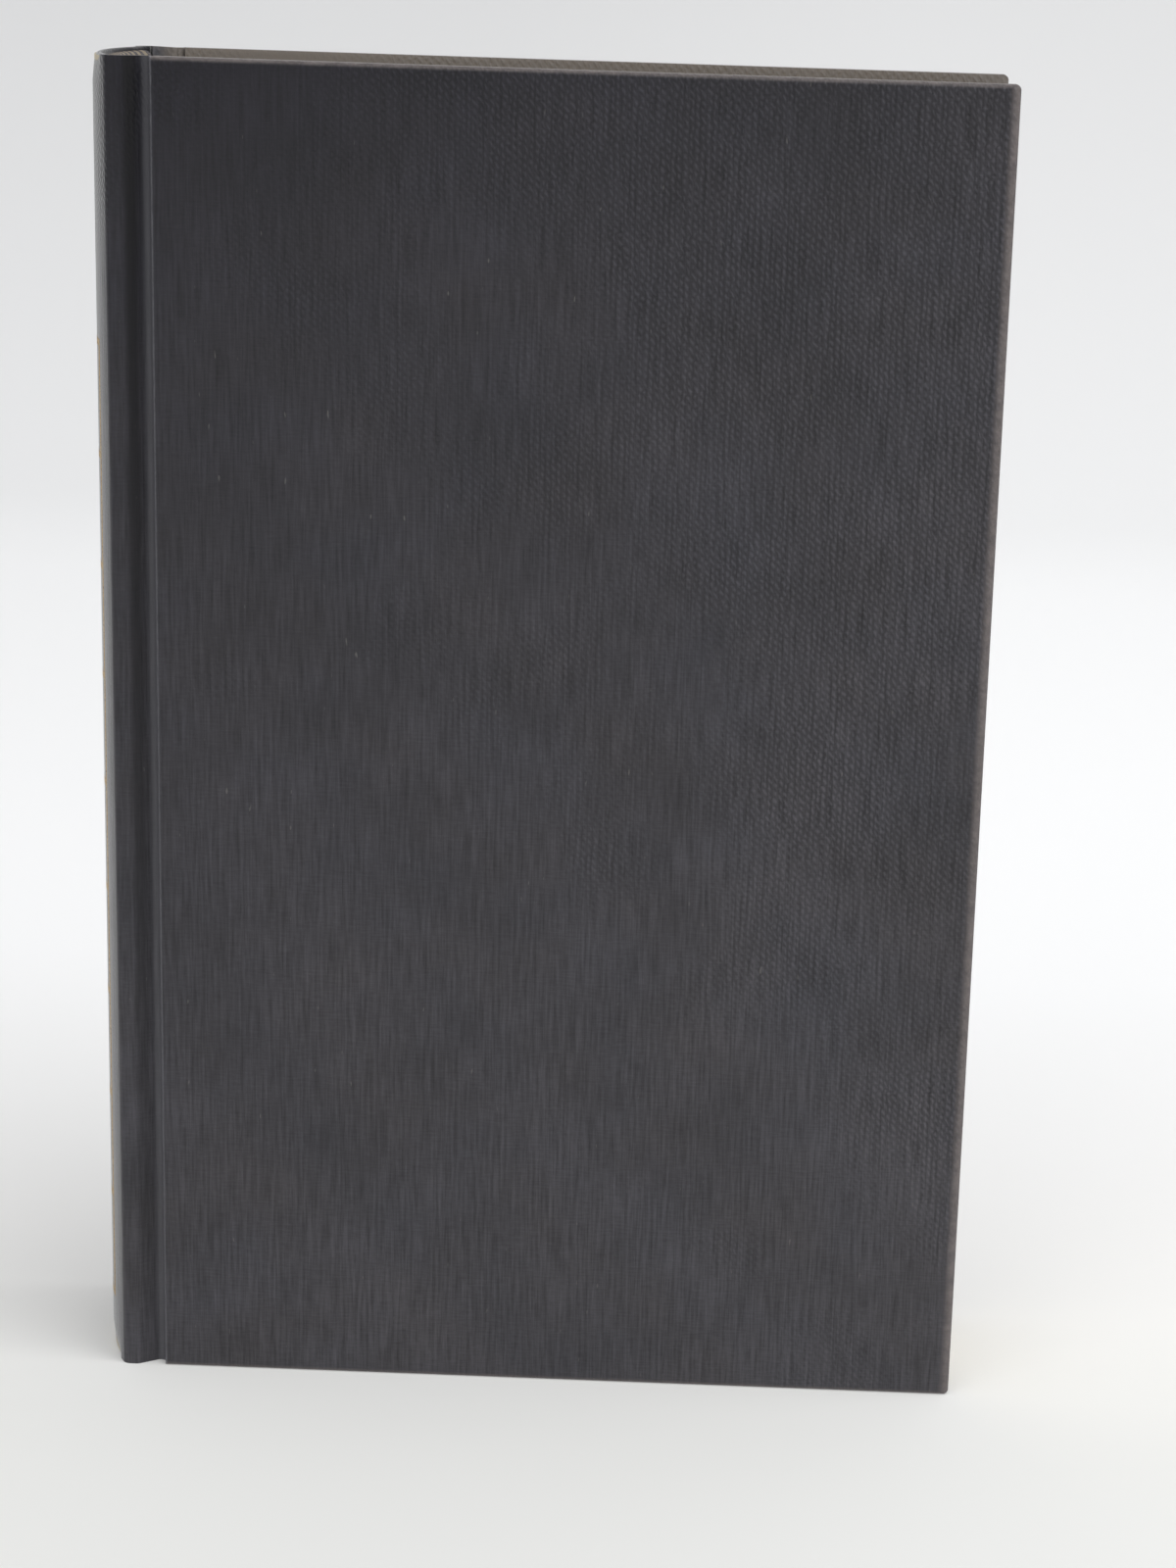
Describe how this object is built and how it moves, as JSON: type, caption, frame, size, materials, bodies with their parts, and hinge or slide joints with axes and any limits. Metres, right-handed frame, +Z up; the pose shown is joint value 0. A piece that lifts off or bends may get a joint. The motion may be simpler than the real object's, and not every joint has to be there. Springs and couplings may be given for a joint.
{
  "type": "hardback book",
  "caption": "Closed cloth-bound hardback book with a rounded spine, French grooves, hinged boards and a rounded page block, standing on its tail.",
  "frame": {"origin": "middle of the closed book's footprint, on the plane that its tail stands on", "axes": "+Z up from tail to head, +X from the spine to the fore-edge, -Y out of the front cover"},
  "size_m": [0.1486, 0.037, 0.222],
  "materials": {
    "book_cloth": "fine-ribbed starch-filled book cloth",
    "greyboard": "raw greyboard",
    "card": "raw card",
    "pages": "trimmed paper, lightly toned with age",
    "endpaper": "uncoated paper",
    "kraft_paper": "kraft lining paper",
    "gauze": "open starched gauze",
    "headband": "woven striped band"
  },
  "bodies": {
    "page_block": {"text_block": "pages", "front_flyleaf": "endpaper", "back_flyleaf": "endpaper", "spine_cloth": "book_cloth", "spine_card": "card", "spine_mull": "gauze", "spine_lining": "kraft_paper", "head_band": "headband", "tail_band": "headband"},
    "front_cover": {"front_board": "greyboard", "front_cover_cloth": "book_cloth", "front_pastedown": "endpaper", "front_mull_flap": "gauze"},
    "back_cover": {"back_board": "greyboard", "back_cover_cloth": "book_cloth", "back_pastedown": "endpaper", "back_mull_flap": "gauze"}
  },
  "joints": [
    {"name": "front_cover_hinge", "type": "hinge", "parent": "page_block", "child": "front_cover", "pos_m": [-0.0683, -0.0184, 0], "axis": [0, 0, -1], "range_deg": [0, 180]},
    {"name": "back_cover_hinge", "type": "hinge", "parent": "page_block", "child": "back_cover", "pos_m": [-0.0683, 0.0184, 0], "axis": [0, 0, 1], "range_deg": [0, 180]}
  ]
}
